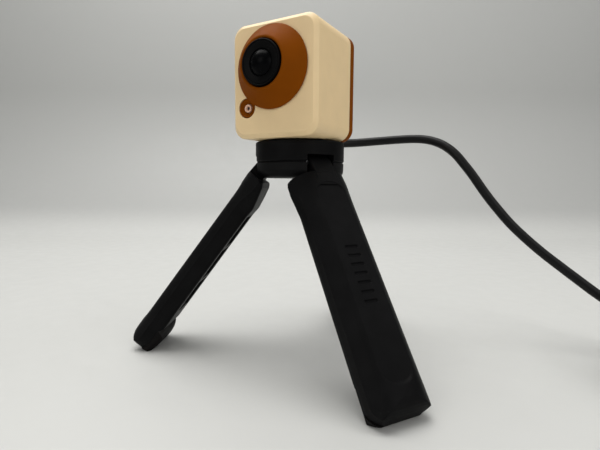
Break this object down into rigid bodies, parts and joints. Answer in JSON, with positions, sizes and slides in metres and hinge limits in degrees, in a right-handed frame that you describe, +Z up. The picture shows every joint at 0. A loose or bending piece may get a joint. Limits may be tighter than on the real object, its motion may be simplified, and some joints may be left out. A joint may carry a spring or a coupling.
{
  "type": "webcam on tripod",
  "caption": "Square webcam with a conical lens ring, screwed to a small folding table tripod, with a round cable that ends in a USB plug.",
  "frame": {"origin": "on the table top, under the middle of the box round the tripod and the camera", "axes": "+Z up, the lens looks along -Y, and +X is to the right seen from in front of the lens"},
  "size_m": [0.2617, 0.1238, 0.14],
  "materials": {
    "tripod_plastic": "black moulded plastic with a fine satin grain",
    "rubber": "matt black rubber",
    "steel": "plain nickel-plated steel",
    "dark_steel": "blackened screw steel",
    "shell_plastic": "cream moulded plastic, smooth satin",
    "trim_plastic": "warm brown moulded plastic, smooth satin",
    "brass": "plain brass",
    "lens_plastic": "black lens plastic",
    "lens_glass": "coated dark lens glass",
    "sensor": "dark image sensor",
    "board": "green circuit board",
    "connector_plastic": "off-white connector plastic",
    "mic_plastic": "pale pinkish plastic ring",
    "cable_jacket": "black flexible jacket with a soft sheen"
  },
  "bodies": {
    "head": {"head_top": "tripod_plastic", "head_base": "tripod_plastic", "top_pad": "rubber", "stud": "steel", "head_screw_1": "dark_steel", "head_screw_2": "dark_steel", "head_screw_3": "dark_steel", "hinge_pin_1": "steel", "hinge_pin_2": "steel", "hinge_pin_3": "steel"},
    "leg_1": {"leg_1": "tripod_plastic", "foot_1": "rubber"},
    "leg_2": {"leg_2": "tripod_plastic", "foot_2": "rubber"},
    "leg_3": {"leg_3": "tripod_plastic", "foot_3": "rubber"},
    "camera": {"front_shell": "shell_plastic", "back_plate": "trim_plastic", "plate_screw_1": "dark_steel", "plate_screw_2": "dark_steel", "plate_screw_3": "dark_steel", "plate_screw_4": "dark_steel", "threaded_insert": "brass", "lens_bezel": "trim_plastic", "lens_holder": "lens_plastic", "infrared_filter": "lens_glass", "image_sensor": "sensor", "circuit_board": "board", "board_screw_1": "steel", "board_screw_2": "steel", "board_screw_3": "steel", "board_screw_4": "steel", "board_connector": "connector_plastic", "mic_cup": "trim_plastic", "mic_ring": "mic_plastic", "microphone": "steel", "strain_relief": "cable_jacket", "inner_lead": "cable_jacket", "cable": "cable_jacket", "cable_coil": "cable_jacket", "cable_tail": "cable_jacket", "cable_tie": "rubber", "plug_housing": "cable_jacket", "plug_shell": "steel", "plug_tongue": "connector_plastic"},
    "lens": {"lens_barrel": "lens_plastic", "lens_retainer": "lens_plastic", "lens_front_element": "lens_glass", "lens_rear_element": "lens_glass"}
  },
  "joints": [
    {"name": "leg_1_fold", "type": "hinge", "parent": "head", "child": "leg_1", "pos_m": [0.01335, -0.02149, 0.085], "axis": [0.5314, 0.8471, 0], "range_deg": [0, 34]},
    {"name": "leg_2_fold", "type": "hinge", "parent": "head", "child": "leg_2", "pos_m": [-0.01175, -0.02056, 0.085], "axis": [0.4679, -0.8838, 0], "range_deg": [0, 34]},
    {"name": "leg_3_fold", "type": "hinge", "parent": "head", "child": "leg_3", "pos_m": [0.0016, 0.00071, 0.085], "axis": [-0.9993, 0.0366, 0], "range_deg": [0, 34]},
    {"name": "camera_turn", "type": "hinge", "parent": "head", "child": "camera", "pos_m": [0.00107, -0.01378, 0.094], "axis": [0, 0, 1], "range_deg": [0, 180]},
    {"name": "lens_focus", "type": "hinge", "parent": "camera", "child": "lens", "pos_m": [0.00212, -0.03743, 0.12145], "axis": [0, -1, 0], "range_deg": [-90, 90]}
  ]
}
